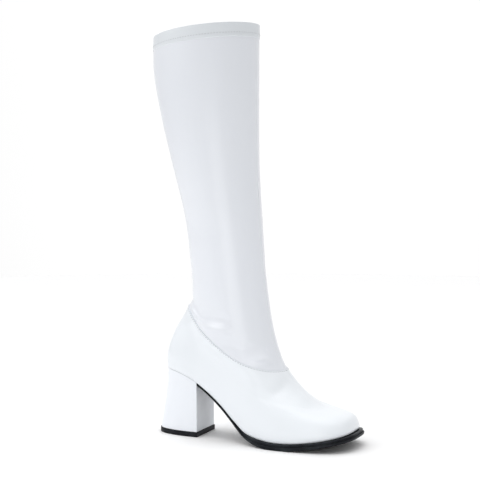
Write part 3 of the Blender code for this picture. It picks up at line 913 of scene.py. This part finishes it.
def build_heel():
    """The covered block heel, from its plan over the top piece up to the seat."""
    seat = seat_outline()
    shares = run_shares(seat[:, :2])
    crown = seat[:, 2] - GAP
    foot = LIFT_THICKNESS + GAP
    reach = smooth(HEEL_BACK)
    rings = []
    for height in HEEL_LAYERS:
        ring = heel_plan(HEEL_LENGTH * reach(height)[0] / 100.0, 0.0, shares)
        merge = height**SEAT_MERGE
        ring = ring * (1.0 - merge) + seat * merge
        ring[:, 2] = foot + (crown - foot) * height
        rings.append(ring)
    return block("heel_cover", rings[::-1], HEEL_COLUMNS, None, [HEEL_VINYL], HEEL_SHARP)


def build_top_piece():
    """The black lift under the heel."""
    shares = run_shares(seat_outline()[:, :2])
    rings = []
    for height, bevel in LIFT_EDGE:
        ring = heel_plan(HEEL_LENGTH, bevel - LIFT_PROUD, shares)
        ring[:, 2] = height
        rings.append(ring)
    return block("heel_top_piece", rings, HEEL_COLUMNS, None, [LIFT_RUBBER], SOLE_SHARP)


# Stitches
def stitch_tree():
    """Lays stitches of a set pitch, length and thickness along a line of edges."""
    tree = bpy.data.node_groups.new("stitch row", "GeometryNodeTree")
    sockets = (
        ("Geometry", "NodeSocketGeometry"), ("Pitch", "NodeSocketFloat"),
        ("Length", "NodeSocketFloat"), ("Thickness", "NodeSocketFloat"),
        ("Thread", "NodeSocketMaterial"),
    )
    for name, kind in sockets:
        tree.interface.new_socket(name, in_out="INPUT", socket_type=kind)
    tree.interface.new_socket("Geometry", in_out="OUTPUT", socket_type="NodeSocketGeometry")
    given = node(tree, "NodeGroupInput")
    wire = {name: given.beside(name) for name, kind in sockets}
    line = node(tree, "GeometryNodeMeshToCurve", None, {"Mesh": wire["Geometry"]})
    line = node(
        tree, "GeometryNodeResampleCurve", {"mode": "LENGTH"},
        {"Curve": line, "Length": wire["Pitch"]},
    )
    ball = node(tree, "GeometryNodeMeshUVSphere", None, {"Segments": 8, "Rings": 5, "Radius": 0.5})
    size = node(
        tree, "ShaderNodeCombineXYZ", None,
        {"X": wire["Length"], "Y": wire["Thickness"], "Z": wire["Thickness"]},
    )
    stitch = node(tree, "GeometryNodeTransform", None, {"Geometry": ball, "Scale": size})
    ahead = node(tree, "GeometryNodeInputTangent")
    turn = node(tree, "FunctionNodeAlignRotationToVector", {"axis": "X"}, {"Vector": ahead})
    row = node(
        tree, "GeometryNodeInstanceOnPoints", None,
        {"Points": line, "Instance": stitch, "Rotation": turn},
    )
    row = node(tree, "GeometryNodeRealizeInstances", None, {"Geometry": row})
    row = node(tree, "GeometryNodeSetShadeSmooth", None, {"Geometry": row})
    row = node(
        tree, "GeometryNodeSetMaterial", None, {"Geometry": row, "Material": wire["Thread"]}
    )
    out = tree.nodes.new("NodeGroupOutput")
    tree.links.new(row.socket, out.inputs[0])
    return tree


STITCHES = stitch_tree()


def stitch_row(name, path, pitch, length, thickness):
    """A row of stitches round a closed path on the surface, as a plain mesh."""
    mesh = bpy.data.meshes.new(name + "_line")
    edges = [(i, (i + 1) % len(path)) for i in range(len(path))]
    mesh.from_pydata(in_frame(path).tolist(), edges, [])
    guide = bpy.data.objects.new(name + "_line", mesh)
    bpy.context.scene.collection.objects.link(guide)
    modifier = guide.modifiers.new("stitches", "NODES")
    modifier.node_group = STITCHES
    sizes = {"Pitch": pitch * MM, "Length": length * MM, "Thickness": thickness * MM}
    values = {**sizes, "Thread": THREAD}
    for item in STITCHES.interface.items_tree:
        if item.in_out == "INPUT" and item.name in values:
            modifier[item.identifier] = values[item.name]
    depsgraph = bpy.context.evaluated_depsgraph_get()
    made = bpy.data.meshes.new_from_object(guide.evaluated_get(depsgraph))
    made.name = name
    guide.modifiers.clear()
    bpy.data.objects.remove(guide)
    row = bpy.data.objects.new(name, made)
    bpy.context.scene.collection.objects.link(row)
    return row


foot, seam_path = build_foot()
shaft, hem_path = build_shaft()
welt = build_sole_layer(
    "welt_strip", start=WELT_START, inset=WELT_INSET, top=under_upper, bottom=welt_underside,
    edge=WELT_EDGE, columns=4, lift=None, material=WELT_RUBBER,
)
outsole = build_sole_layer(
    "tread_sole", start=GAP, inset=0.0, top=under_welt, bottom=lambda ring: tread_z(ring[:, 0]),
    edge=OUTSOLE_EDGE, columns=28, lift=tread_ribs, material=SOLE_RUBBER,
)
heel = build_heel()
lift = build_top_piece()
seam_stitches = stitch_row(
    "ankle_seam_stitches", seam_path, pitch=3.2, length=2.1, thickness=0.6
)
hem_stitches = stitch_row("hem_stitches", hem_path, pitch=3.2, length=2.3, thickness=0.45)

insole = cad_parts["insole"]
for spot in insole.material_slots:
    spot.material = SOCK

for made, replaced, slot in (
    (foot, "upper", "leatherette"), (shaft, None, "leatherette"), (welt, "welt", "welt"),
    (outsole, "outsole", "sole"), (heel, "heel", "heel_cover"), (lift, "top_piece", "top_piece"),
    (seam_stitches, None, "leatherette"), (hem_stitches, None, "leatherette"),
):
    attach(made, "root")
    if replaced:
        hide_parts(replaced)


# Studio
FLOOR_RADIUS = 2.1
FLOOR_CORNERS = 96


def build_floor():
    """A wide flat disc under the boot."""
    mesh = bpy.data.meshes.new("studio_floor")
    turns = np.linspace(0.0, 2.0 * np.pi, FLOOR_CORNERS + 1)[:-1]
    rim = [(FLOOR_RADIUS * np.cos(t), FLOOR_RADIUS * np.sin(t), 0.0) for t in turns]
    mesh.from_pydata(rim, [], [list(range(len(rim)))])
    mesh.materials.append(studio_floor("studio floor"))
    floor = bpy.data.objects.new("studio_floor", mesh)
    bpy.context.scene.collection.objects.link(floor)


def soft_light(name, place, target, size, power):
    """An oval area light at a place, turned to its target."""
    lamp = bpy.data.lights.new(name, "AREA")
    lamp.shape = "ELLIPSE"
    lamp.size, lamp.size_y = size
    lamp.energy = power
    obj = bpy.data.objects.new(name, lamp)
    obj.location = place
    obj.rotation_mode = "QUATERNION"
    obj.rotation_quaternion = (Vector(target) - Vector(place)).to_track_quat("-Z", "Y")
    bpy.context.scene.collection.objects.link(obj)


# Place, target, width and height in metres, and power in watts
LIGHTS = {
    "overhead": ((0.0, -0.1, 2.2), (0.0, 0.0, 0.2), (1.8, 1.8), 5.2),
    "low fill": ((0.25, -0.75, 0.12), (0.0, 0.0, 0.12), (0.5, 0.5), 0.8),
    "ankle gleam": ((-0.98, -0.81, 0.85), (0.0, 0.0, 0.13), (1.7, 0.24), 3.3),
}
# Soft light of the room from each side: direction, how narrow, strength
ROOM = {
    "back": ((-0.4, 0.91, 0.0), 2.0, 1.034),
    "toe side": ((0.91, 0.4, 0.0), 2.0, 0.47),
    "near side": ((0.4, -0.91, 0.0), 2.0, 0.2),
    "high heel side": ((-0.8, -0.5, 0.7), 3.0, 0.5),
    "ceiling": ((0.0, 0.0, 1.0), 2.0, 1.317),
}


def build_studio():
    """The floor, the lights and the light of the room."""
    build_floor()
    for name, (place, target, size, power) in LIGHTS.items():
        soft_light(name, place, target, size, power)
    world = bpy.data.worlds.new("studio")
    bpy.context.scene.world = world
    world.use_nodes = True
    tree = world.node_tree
    back = tree.nodes["Background"]
    back.inputs["Color"].default_value = (1.0, 1.0, 1.0, 1.0)
    direction = node(tree, "ShaderNodeTexCoord", output="Generated")
    total = 0.0
    for way, power, amount in ROOM.values():
        facing = node(
            tree, "ShaderNodeVectorMath", {"operation": "DOT_PRODUCT"},
            {0: direction, 1: Vector(way).normalized()}, "Value",
        )
        total = total + facing.at_least(0.0) ** power * amount
    tree.links.new(total.socket, back.inputs["Strength"])


# Camera: place in metres, the way it looks, and its lens and sensor in mm
CAMERA_PLACE = (0.5002, -1.1826, 0.2958)
CAMERA_WAY = (-0.40142, 0.91401, -0.05878)
LENS = 87.82
SENSOR = 36.0


def build_camera():
    """A long lens at the outer side of the boot, forward of square and looking slightly down."""
    lens = bpy.data.cameras.new("camera")
    lens.sensor_width = SENSOR
    lens.lens = LENS
    camera = bpy.data.objects.new("camera", lens)
    camera.location = CAMERA_PLACE
    camera.rotation_mode = "QUATERNION"
    camera.rotation_quaternion = Vector(CAMERA_WAY).to_track_quat("-Z", "Y")
    bpy.context.scene.collection.objects.link(camera)
    bpy.context.scene.camera = camera


build_studio()
build_camera()
bpy.context.scene.view_settings.view_transform = "Standard"
